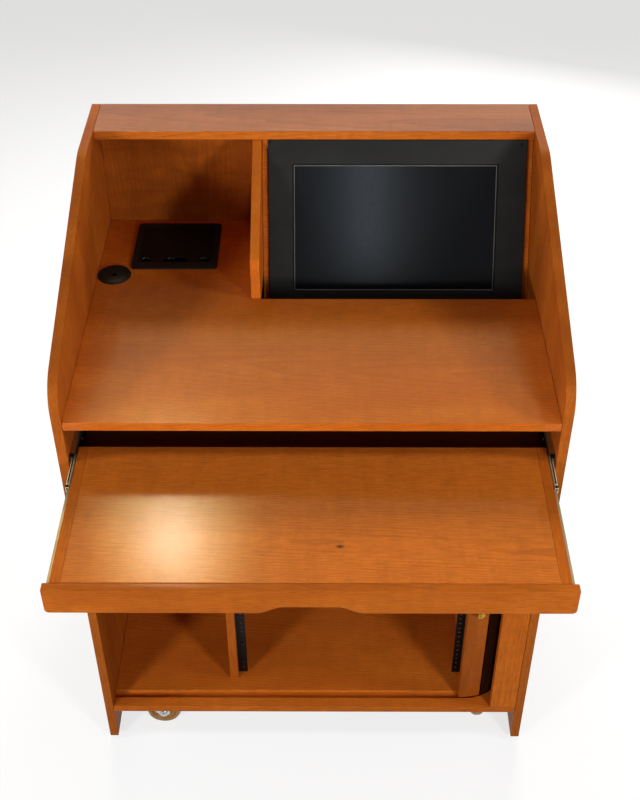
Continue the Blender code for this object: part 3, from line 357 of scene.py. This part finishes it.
# Lighter wood for the groove's rear lip: a painted highlight
highlight_edge_wood = cherry("cherry_edge", "X", heart=(0.0, 0.0, 0.12), tilt=(2.0, 3.0), ring=0.0040, figure=0.25,
                   tone=-0.6, seed=15)
# tone -0.6 makes the sloped panel and its cleats lighter: painted light
slope_wood = cherry("cherry_slope", "X", heart=(0.1, 0.3, 0.9), tilt=(2.5, 2.0), ring=0.0060, figure=0.5,
                    tone=-0.6, seed=13, curl=0.5)

FINISH = {
    "work_surface": desk_wood,
    "tray_panel": tray_wood,
    "top_panel": top_wood,
    "tray_front_rail": rail_wood,
    "bottom_panel": floor_wood,
    "cabinet_deck": deck_wood,
    "tray_bay_back": inner_wood,
    "upper_back_panel": back_wood,
    "rear_access_panel": back_wood,
    "side_panel_left": side_wood,
    "side_panel_right": side_wood,
    "upper_divider": stile_wood,
    "lower_divider": wall_wood,
    "pocket_wall": wall_wood,
    "front_stile": stile_wood,
    "tambour_lead_rail": lead_wood,
    "tambour_front_curve": slat_wood,
    "tambour_side_run": slat_wood,
    "tambour_rear_curve": slat_wood,
    "tambour_rear_run": slat_wood,
    "tray_side_left": batten_wood,
    "tray_side_right": batten_wood,
    "monitor_cleat_left": slope_wood,
    "monitor_cleat_right": slope_wood,
    "monitor_panel": slope_wood,
    "monitor_bezel": bezel_black,
    "monitor_screen": glass,
    "monitor_housing": plastic_black,
    "grommet_ring": plastic_black,
    "grommet_cap": plastic_black,
    "cable_box_body": plastic_black,
    "cable_box_lid": lid_black,
    "rack_rail_left": rail_black,
    "rack_rail_right": rail_black,
    "tambour_knob": brass,
}
SLIDE_FINISH = {"cabinet": zinc, "middle": runner, "drawer": dull_zinc}
for name in NODES:
    if name.startswith("slide_"):
        FINISH[name] = SLIDE_FINISH[name.split("_")[2]]
    elif name.startswith("caster_"):
        FINISH[name] = amber if name.endswith("wheel") else chrome


def rounding():
    """A modifier group that joins the facets of a node and shades shallow edges smooth."""
    group = bpy.data.node_groups.new("rounding", "GeometryNodeTree")
    for way in ("INPUT", "OUTPUT"):
        group.interface.new_socket("Geometry", in_out=way, socket_type="NodeSocketGeometry")

    def add(kind, **settings):
        node = group.nodes.new(kind)
        for key, value in settings.items():
            setattr(node, key, value)
        return node

    unshade = add("GeometryNodeRemoveAttribute")
    unshade.inputs["Name"].default_value = "custom_normal"
    weld = add("GeometryNodeMergeByDistance")
    weld.inputs["Distance"].default_value = 0.00001
    smooth_faces = add("GeometryNodeSetShadeSmooth", domain="FACE")
    smooth_edges = add("GeometryNodeSetShadeSmooth", domain="EDGE")
    steps = [add("NodeGroupInput"), unshade, weld, smooth_faces, smooth_edges, add("NodeGroupOutput")]
    for before, after in zip(steps, steps[1:]):
        group.links.new(before.outputs[0], after.inputs[0])
    angle = add("GeometryNodeInputMeshEdgeAngle")
    shallow = add("FunctionNodeCompare", data_type="FLOAT", operation="LESS_THAN")
    shallow.inputs[1].default_value = math.radians(32)
    group.links.new(angle.outputs["Unsigned Angle"], shallow.inputs[0])
    group.links.new(shallow.outputs[0], smooth_edges.inputs["Shade Smooth"])
    return group


ROUNDING = rounding()
for name, node in NODES.items():
    node.data.materials.clear()
    node.data.materials.append(FINISH[name])
    node.modifiers.new("rounding", "NODES").node_group = ROUNDING
    flat = node.modifiers.new("flat_faces", "WEIGHTED_NORMAL")
    flat.keep_sharp = True
    flat.weight = 100


# Small pieces

def piece(name, bm, material, body, smooth=35):
    """Takes a finished bmesh in the frame's own place as a piece that rides on a body."""
    bmesh.ops.recalc_face_normals(bm, faces=bm.faces)
    mesh = bpy.data.meshes.new(name)
    bm.to_mesh(mesh)
    bm.free()
    mesh.materials.append(material)
    mesh.set_sharp_from_angle(angle=math.radians(smooth))
    made = bpy.data.objects.new(name, mesh)
    bpy.context.scene.collection.objects.link(made)
    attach(made, body)


def aim(axis):
    """A turn that brings +Z to an axis."""
    return Vector(axis).normalized().to_track_quat("Z", "Y").to_matrix().to_4x4()


def turns(steps):
    """Angles of a full turn in equal steps."""
    return [math.tau * step / steps for step in range(steps)]


def bridge(bm, loops, closed=False, capped=False):
    """Joins each loop to the next with faces. A loop is a ring of one count, or a single point."""
    pairs = list(zip(loops, loops[1:]))
    if closed:
        pairs.append((loops[-1], loops[0]))
    for low, high in pairs:
        steps = max(len(low), len(high))
        for step in range(steps):
            after = (step + 1) % steps
            corners = (low[step % len(low)], low[after % len(low)],
                       high[after % len(high)], high[step % len(high)])
            bm.faces.new(list(dict.fromkeys(corners)))
    if capped:
        bm.faces.new(loops[0])
        bm.faces.new(loops[-1])


def turned(profile, steps=32):
    """A solid of revolution about Z from (radius, height) points."""
    bm = bmesh.new()
    loops = [[bm.verts.new((radius * math.cos(t), radius * math.sin(t), height))
              for t in (turns(steps) if radius else [0.0])]
             for radius, height in profile]
    bridge(bm, loops)
    return bm


def block(size, bevel, segments=2):
    """A box about the origin with eased edges."""
    bm = bmesh.new()
    bmesh.ops.create_cube(bm, size=1.0, matrix=Matrix.Diagonal((*size, 1.0)))
    bmesh.ops.bevel(bm, geom=bm.edges[:], offset=bevel, segments=segments, affect="EDGES", profile=0.5)
    return bm


HEAD_STEPS = 32
HEAD_DOME = ((1.0, 0.0), (1.0, 0.35), (0.86, 0.75), (0.60, 0.96))    # shares of the radius and of the height
RECESS_LIP, RECESS_FLOOR = 0.98, 0.45
RECESS_TAPER = 0.8


def screw_head(radius, height):
    """A domed head with a cross recess, standing on z = 0."""
    bm = bmesh.new()
    angles = turns(HEAD_STEPS)
    cross = [0.12 + 0.46 * math.cos(2 * t) ** 8 for t in angles]

    def loop(shares, level):
        return [bm.verts.new((radius * share * math.cos(t), radius * share * math.sin(t), height * level))
                for share, t in zip(shares, angles)]

    loops = [loop([share] * HEAD_STEPS, level) for share, level in HEAD_DOME]
    loops.append(loop(cross, RECESS_LIP))
    loops.append(loop([RECESS_TAPER * share for share in cross], RECESS_FLOOR))
    foot, well = bm.verts.new((0, 0, 0)), bm.verts.new((0, 0, height * RECESS_FLOOR))
    bridge(bm, [[foot], *loops, [well]])
    return bm


def screw(name, place, axis, radius, height, material, body):
    bm = screw_head(radius, height)
    bm.transform(Matrix.Translation(place) @ aim(axis))
    piece(name, bm, material, body)


# Bezel screws

SLOPE = math.radians(26)
SLOPE_IN = Vector((0, math.cos(SLOPE), -math.sin(SLOPE)))
SLOPE_UP = Vector((0, math.sin(SLOPE), math.cos(SLOPE)))
SLOPE_TOP = Vector((0, FRONT_Y + 0.595, 1.1617))    # upper end of the sloped panel's face
BEZEL_FACE = 0.0052                                 # the bezel stands out from there


def on_slope(x, up, out):
    """A place by the sloped panel: across, up the slope from its upper end, and out of its face."""
    return Vector((x, *SLOPE_TOP.yz)) + SLOPE_UP * up - SLOPE_IN * out


for name, x, down in (("bezel_screw_left", -0.0865, 0.0102), ("bezel_screw_right", 0.4090, 0.0140)):
    screw(name, on_slope(x, -down, BEZEL_FACE), -SLOPE_IN, 0.0026, 0.0011, rail_black, "cabinet")

# Bead round the screen, whose light grey paints the highlight lines of the bezel's chamfer: its corners with the
# way inwards, and its section in shares of width and rise

SCREEN_LEFT, SCREEN_RIGHT, SCREEN_TOP, SCREEN_FOOT = -0.0401, 0.3629, -0.0543, -0.3043
BEAD_CORNERS = ((SCREEN_LEFT, SCREEN_FOOT, 1, 1), (SCREEN_RIGHT, SCREEN_FOOT, -1, 1),
                (SCREEN_RIGHT, SCREEN_TOP, -1, -1), (SCREEN_LEFT, SCREEN_TOP, 1, -1))
BEAD_SECTION = ((0.0, 0.0001), (0.0, 0.7), (0.3, 1.0), (0.7, 1.0), (1.0, 0.6), (1.0, 0.0001))
BEAD_WIDTH, BEAD_RISE, BEAD_GAP = 0.0017, 0.00119, 0.0001

bead = bmesh.new()
bridge(bead, [[bead.verts.new(on_slope(x + into_x * inset * BEAD_WIDTH, up + into_up * inset * BEAD_WIDTH,
                                       BEAD_GAP + rise * BEAD_RISE))
               for x, up, into_x, into_up in BEAD_CORNERS]
              for inset, rise in BEAD_SECTION], closed=True)
piece("screen_bead", bead, bead_grey, "cabinet", 25)

# Rolled lips in the scallops of the cable lid, whose light grey paints the glints in the scallops

LIP_RADIUS, LIP_TUBE, LIP_DROP = 0.0066, 0.0006, 0.0013
LIP_STEPS, LIP_SIDES = 16, 8
LIP_FROM, LIP_SWEEP = 15, 150    # degrees
low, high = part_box("cable_box_lid")
scallop_rear = low.y + 0.016
for number, x in enumerate((low.x + 0.0135, -0.2906, -0.2237), 1):
    lip = bmesh.new()
    loops = []
    for step in range(LIP_STEPS + 1):
        turn = math.radians(LIP_FROM + LIP_SWEEP * step / LIP_STEPS)
        out = Vector((math.cos(turn), math.sin(turn), 0))
        centre = Vector((x, scallop_rear + LIP_TUBE - LIP_RADIUS, high.z - LIP_DROP)) + out * LIP_RADIUS
        loops.append([lip.verts.new(centre + LIP_TUBE * (math.cos(t) * out + math.sin(t) * UP))
                      for t in turns(LIP_SIDES)])
    bridge(lip, loops, capped=True)
    piece(f"cable_lid_lip_{number}", lip, bead_grey, "cable_lid", 60)

# Fittings of the slides

RIVET_DEPTH, RIVET_HEIGHT, RIVET_SUNK = 0.098, 0.8110, 0.0012
CLIP_SIZE, CLIP_PLACE = (0.0090, 0.0100, 0.0020), (0.4275, 0.0115, 0.8493)    # x to the right, y behind the front
CAP_LENGTH, CAP_SIDE_GAP = 0.006, 0.0002
CAGE_LENGTH, CAGE_MIDDLE, CAGE_SHARE = 0.110, 0.066, 0.4
for side, sign in (("left", -1), ("right", 1)):
    body = f"slide_{side}_middle"
    low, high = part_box(f"slide_{side}_middle_member")
    width, middle = high.x - low.x, (low.x + high.x) / 2
    wall = high.x if sign > 0 else low.x
    rivet = Vector((wall - sign * RIVET_SUNK, FRONT_Y + RIVET_DEPTH, RIVET_HEIGHT))
    screw(f"slide_{side}_rivet", rivet, (-sign, 0, 0), 0.0030, 0.0014, bright_zinc, body)
    clip = block(CLIP_SIZE, 0.0006)
    clip.transform(Matrix.Translation((sign * CLIP_PLACE[0], FRONT_Y + CLIP_PLACE[1], CLIP_PLACE[2])))
    piece(f"slide_{side}_clip", clip, plastic_black, "cabinet")
    cap = block((width - CAP_SIDE_GAP, CAP_LENGTH, 0.0003), 0.0001, 1)
    cap.transform(Matrix.Translation((middle, low.y + CAP_LENGTH / 2, high.z + 0.0002)))
    piece(f"slide_{side}_end_cap", cap, plastic_black, body)
    cage = block((width * CAGE_SHARE, CAGE_LENGTH, 0.0002), 0.00005, 1)
    cage.transform(Matrix.Translation((middle, low.y + CAGE_MIDDLE, high.z + 0.00015)))
    piece(f"slide_{side}_ball_cage", cage, rail_black, body)

# Plug in the cabinet floor beside the divider

FLOOR_TOP = 0.118
plug = turned([(0, 0.0), (0.0046, 0.0), (0.0046, 0.0005), (0.0042, 0.0008), (0, 0.0009)])
plug.transform(Matrix.Translation((-0.1565, FRONT_Y + 0.080, FLOOR_TOP + 0.0001)))
piece("floor_plug", plug, rail_wood, "cabinet")

# Worn edging along the rear lip of the tambour groove, in lighter wood that paints the lip's highlight: its
# section is (back, up) from the lip's edge

lead_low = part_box("tambour_lead_rail")[0]
GROOVE_REAR = FRONT_Y + 0.042
EDGING_LEFT, EDGING_RIGHT = -0.4322, lead_low.x - 0.002
EDGING_STATIONS = 90
EDGING_SECTION = ((-0.0008, -0.0030), (-0.0008, 0.0), (-0.0003, 0.0004), (0.0028, 0.0004), (0.0031, 0.0001),
                  (-0.0001, 0.0001), (-0.0001, -0.0030))
WORN_FROM = 0.002    # points further back than this wander
edging = bmesh.new()
loops = []
for station in range(EDGING_STATIONS + 1):
    x = EDGING_LEFT + (EDGING_RIGHT - EDGING_LEFT) * station / EDGING_STATIONS
    wear = 0.0002 * math.sin(station * 1.7) * math.sin(station * 0.61)
    loops.append([edging.verts.new((x, GROOVE_REAR + back + (wear if back > WORN_FROM else 0.0), FLOOR_TOP + up))
                  for back, up in EDGING_SECTION])
bridge(edging, loops, capped=True)
piece("groove_edging", edging, highlight_edge_wood, "cabinet")

# Rose under the knob

low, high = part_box("tambour_knob")
rose = turned([(0.0045, 0.0), (0.0088, 0.0), (0.0088, 0.0006), (0.0080, 0.0011), (0.0045, 0.0013), (0.0045, 0.0)])
rose.transform(Matrix.Translation(((low.x + high.x) / 2, lead_low.y - 0.0001, (low.z + high.z) / 2))
               @ aim((0, -1, 0)))
piece("knob_rose", rose, brass, "tambour_front")

# Screws of the rack rails

RACK_SHEET, RACK_SCREW_INSET = 0.0021, 0.010
for side, sign in (("left", 1), ("right", -1)):
    low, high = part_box(f"rack_rail_{side}")
    face = (low.x if sign > 0 else high.x) + sign * RACK_SHEET
    for number, share in enumerate((0.08, 0.5, 0.92), 1):
        spot = Vector((face, high.y - RACK_SCREW_INSET, low.z + (high.z - low.z) * share))
        screw(f"rack_screw_{side}_{number}", spot, (sign, 0, 0), 0.0034, 0.0016, rail_black, "cabinet")

# Screws round the rear panel, with none in its middle

REAR_SCREW_INSET = 0.020
low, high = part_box("rear_access_panel")
half_height = (low.z + high.z) / 2
spots = [(x, z) for x in (low.x + REAR_SCREW_INSET, 0.0, high.x - REAR_SCREW_INSET)
         for z in (low.z + REAR_SCREW_INSET, half_height, high.z - REAR_SCREW_INSET)
         if (x, z) != (0.0, half_height)]
for number, (x, z) in enumerate(spots, 1):
    screw(f"rear_screw_{number}", Vector((x, high.y + 0.0001, z)), (0, 1, 0), 0.0040, 0.0018,
          chrome, "cabinet")

# Bolts, axle nuts and hub discs of the casters

PLATE_UNDER, BOLT_REACH = 0.0032, 0.021
NUT_OUT, DISC_OUT = 0.0162, 0.0121    # from the wheel's middle along its axle
NUT = ((0, 0), (0.0075, 0), (0.0075, 0.0028), (0.0064, 0.0034), (0.0046, 0.0034), (0.0040, 0.0046), (0, 0.0048))
HUB_DISC = ((0.0060, 0), (0.0135, 0), (0.0135, 0.0005), (0.0125, 0.0009), (0.0070, 0.0009), (0.0060, 0.0005),
            (0.0060, 0))
for corner in ("front_left", "front_right", "rear_left", "rear_right"):
    low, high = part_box(f"caster_{corner}_plate")
    middle = (low + high) / 2
    for number, (x, y) in enumerate(((-1, -1), (1, -1), (-1, 1), (1, 1)), 1):
        spot = Vector((middle.x + x * BOLT_REACH, middle.y + y * BOLT_REACH, high.z - PLATE_UNDER))
        screw(f"caster_{corner}_bolt_{number}", spot, (0, 0, -1), 0.0052, 0.0026, chrome, "cabinet")
    low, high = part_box(f"caster_{corner}_wheel")
    hub = (low + high) / 2
    axle = Vector((0, 1, 0)) if corner == "front_left" else Vector((1, 0, 0))
    for end, sign, nut_sides in (("a", -1, 24), ("b", 1, 6)):
        nut = turned(NUT, nut_sides)
        nut.transform(Matrix.Translation(hub + axle * sign * NUT_OUT) @ aim(axle * sign))
        piece(f"caster_{corner}_nut_{end}", nut, chrome, f"caster_{corner}", 20)
        disc = turned(HUB_DISC)
        disc.transform(Matrix.Translation(hub + axle * sign * DISC_OUT) @ aim(axle * sign))
        piece(f"caster_{corner}_hub_{end}", disc, chrome, f"caster_{corner}_roller")


# Studio

WHITE = (1, 1, 1)
FLOOR_REACH, FLOOR_DROP = 150, 0.0005
FLOOR_SEEN, FLOOR_GLOW, FLOOR_BOUNCE = 0.32, 0.70, 0.10
SKY_SEEN, SKY_FILL = 0.80, 0.025


def shader_node(kind, tree, level=None, **inputs):
    """A new node, with a grey level as its colour where one is given."""
    node = tree.nodes.new(kind)
    if level is not None:
        node.inputs["Color"].default_value = (level, level, level, 1)
    for key, value in inputs.items():
        node.inputs[key].default_value = value
    return node


def seen_or_mirrored(tree, hidden, shown, output):
    """Gives one shader to camera, glossy and transmission rays, and another to the light that bounces."""
    path = tree.nodes.new("ShaderNodeLightPath")
    share = path.outputs["Is Camera Ray"]
    for ray in ("Is Glossy Ray", "Is Transmission Ray"):
        either = tree.nodes.new("ShaderNodeMath")
        either.operation = "MAXIMUM"
        tree.links.new(share, either.inputs[0])
        tree.links.new(path.outputs[ray], either.inputs[1])
        share = either.outputs[0]
    choose = tree.nodes.new("ShaderNodeMixShader")
    tree.links.new(share, choose.inputs[0])
    tree.links.new(hidden.outputs[0], choose.inputs[1])
    tree.links.new(shown.outputs[0], choose.inputs[2])
    tree.links.new(choose.outputs[0], output.inputs["Surface"])


def studio_floor():
    """Pale where it is seen or mirrored, with the object's soft shadow, and darker to the light that bounces."""
    bm = bmesh.new()
    bmesh.ops.create_grid(bm, x_segments=1, y_segments=1, size=FLOOR_REACH)
    mesh = bpy.data.meshes.new("studio_floor")
    bm.to_mesh(mesh)
    bm.free()
    made = bpy.data.objects.new("studio_floor", mesh)
    made.location.z = -FLOOR_DROP
    bpy.context.scene.collection.objects.link(made)
    material = bpy.data.materials.new("pale_floor")
    material.use_nodes = True
    tree = material.node_tree
    tree.nodes.clear()
    seen = shader_node("ShaderNodeBsdfDiffuse", tree, FLOOR_SEEN)
    glow = shader_node("ShaderNodeEmission", tree, 1, Strength=FLOOR_GLOW)
    bounce = shader_node("ShaderNodeBsdfDiffuse", tree, FLOOR_BOUNCE)
    pale = shader_node("ShaderNodeAddShader", tree)
    tree.links.new(seen.outputs[0], pale.inputs[0])
    tree.links.new(glow.outputs[0], pale.inputs[1])
    seen_or_mirrored(tree, bounce, pale, shader_node("ShaderNodeOutputMaterial", tree))
    mesh.materials.append(material)


def sky():
    """Pale where it is seen or mirrored, and a faint even fill to everything else."""
    world = bpy.data.worlds.new("studio")
    bpy.context.scene.world = world
    world.use_nodes = True
    tree = world.node_tree
    tree.nodes.clear()
    fill = shader_node("ShaderNodeBackground", tree, 1, Strength=SKY_FILL)
    pale = shader_node("ShaderNodeBackground", tree, 1, Strength=SKY_SEEN)
    seen_or_mirrored(tree, fill, pale, shader_node("ShaderNodeOutputWorld", tree))


def lamp(name, place, target, size, power, tint=WHITE, shape="RECTANGLE", mirrored=True, lighting=True):
    """An area lamp in watts. It shows in shiny surfaces if mirrored, and lights matt ones if lighting."""
    light = bpy.data.lights.new(name, "AREA")
    light.shape = shape
    light.size, light.size_y = size
    light.energy = power
    light.color = tint
    made = bpy.data.objects.new(name, light)
    made.location = place
    made.rotation_euler = (Vector(target) - Vector(place)).to_track_quat("-Z", "Y").to_euler()
    made.visible_glossy = mirrored
    made.visible_diffuse = lighting
    bpy.context.scene.collection.objects.link(made)


COOL = (0.80, 0.92, 1.0)
GOLD = (1.0, 0.77, 0.16)
CREAM = (1.0, 0.88, 0.72)
MIDDLE = (0.0, 0.0, 0.8)
FRONT_LAMP, SIDE_LAMP = (0.40, 0.40), (0.30, 0.30)

studio_floor()
sky()
lamp("front_left", (-1.62, -2.00, 1.12), MIDDLE, FRONT_LAMP, 34)
lamp("front_right", (1.50, -2.06, 1.50), MIDDLE, FRONT_LAMP, 34)
lamp("side_left", (-2.13, -0.57, 2.31), MIDDLE, SIDE_LAMP, 15, mirrored=False)
lamp("side_right", (2.13, -0.57, 2.31), MIDDLE, SIDE_LAMP, 15, mirrored=False)
lamp("back_soft", (0.0, 2.20, 2.24), (0, -0.3, 0.9), (2.4, 0.8), 68, mirrored=False)

# The highlight on the tray: three discs in one place, which fade from cream to gold
for name, size, power, tint in (("back_wide", 0.60, 15, (1.0, 0.78, 0.20)),
                                ("back_middle", 0.38, 12, (1.0, 0.86, 0.50)),
                                ("back_core", 0.22, 8, (1.0, 0.93, 0.78))):
    lamp(name, (-0.61, 1.70, 3.09), (-0.2, -0.2, 0.9), (size, size), power, tint, "DISK", lighting=False)

lamp("back_sheen", (0.0, 2.60, 3.17), (0.0, -0.1, 0.94), (2.2, 0.75), 10, GOLD)
lamp("back_card", (0.0, 2.80, 2.45), (0.0, 0.44, 1.18), (3.2, 0.4), 6, CREAM)
lamp("rear_fill", (0.9, 3.0, 1.1), (0.0, 0.4, 0.6), (1.2, 1.2), 30)
lamp("screen_strip", (0.24, -3.40, 2.60), (0.1, 0.3, 1.0), (0.16, 1.0), 9, COOL)


# Camera at the photo's angle

FOCAL, LONG_SIDE = 1243.97, 800    # in pixels
SENSOR = 36
WORK_HEIGHT = 0.936
DOWN, PAN, ROLL = math.radians(40.652), math.radians(-0.383), math.radians(-0.162)
CAMERA_PLACE = (0.0252, FRONT_Y - 1.6024, WORK_HEIGHT + 1.4301)
forward = Vector((math.sin(PAN) * math.cos(DOWN), math.cos(PAN) * math.cos(DOWN), -math.sin(DOWN)))
right = Vector((math.cos(PAN), -math.sin(PAN), 0))
upward = right.cross(forward)
right, upward = (math.cos(ROLL) * right + math.sin(ROLL) * upward,
                 -math.sin(ROLL) * right + math.cos(ROLL) * upward)
camera = bpy.data.objects.new("camera", bpy.data.cameras.new("camera"))
camera.matrix_world = (Matrix.Translation(CAMERA_PLACE)
                       @ Matrix((right, upward, -forward)).transposed().to_4x4())
camera.data.sensor_width = SENSOR
camera.data.lens = FOCAL * SENSOR / LONG_SIDE
camera.data.clip_end = 400
bpy.context.scene.collection.objects.link(camera)
bpy.context.scene.camera = camera
bpy.context.scene.view_settings.view_transform = "Standard"

bpy.context.view_layer.update()
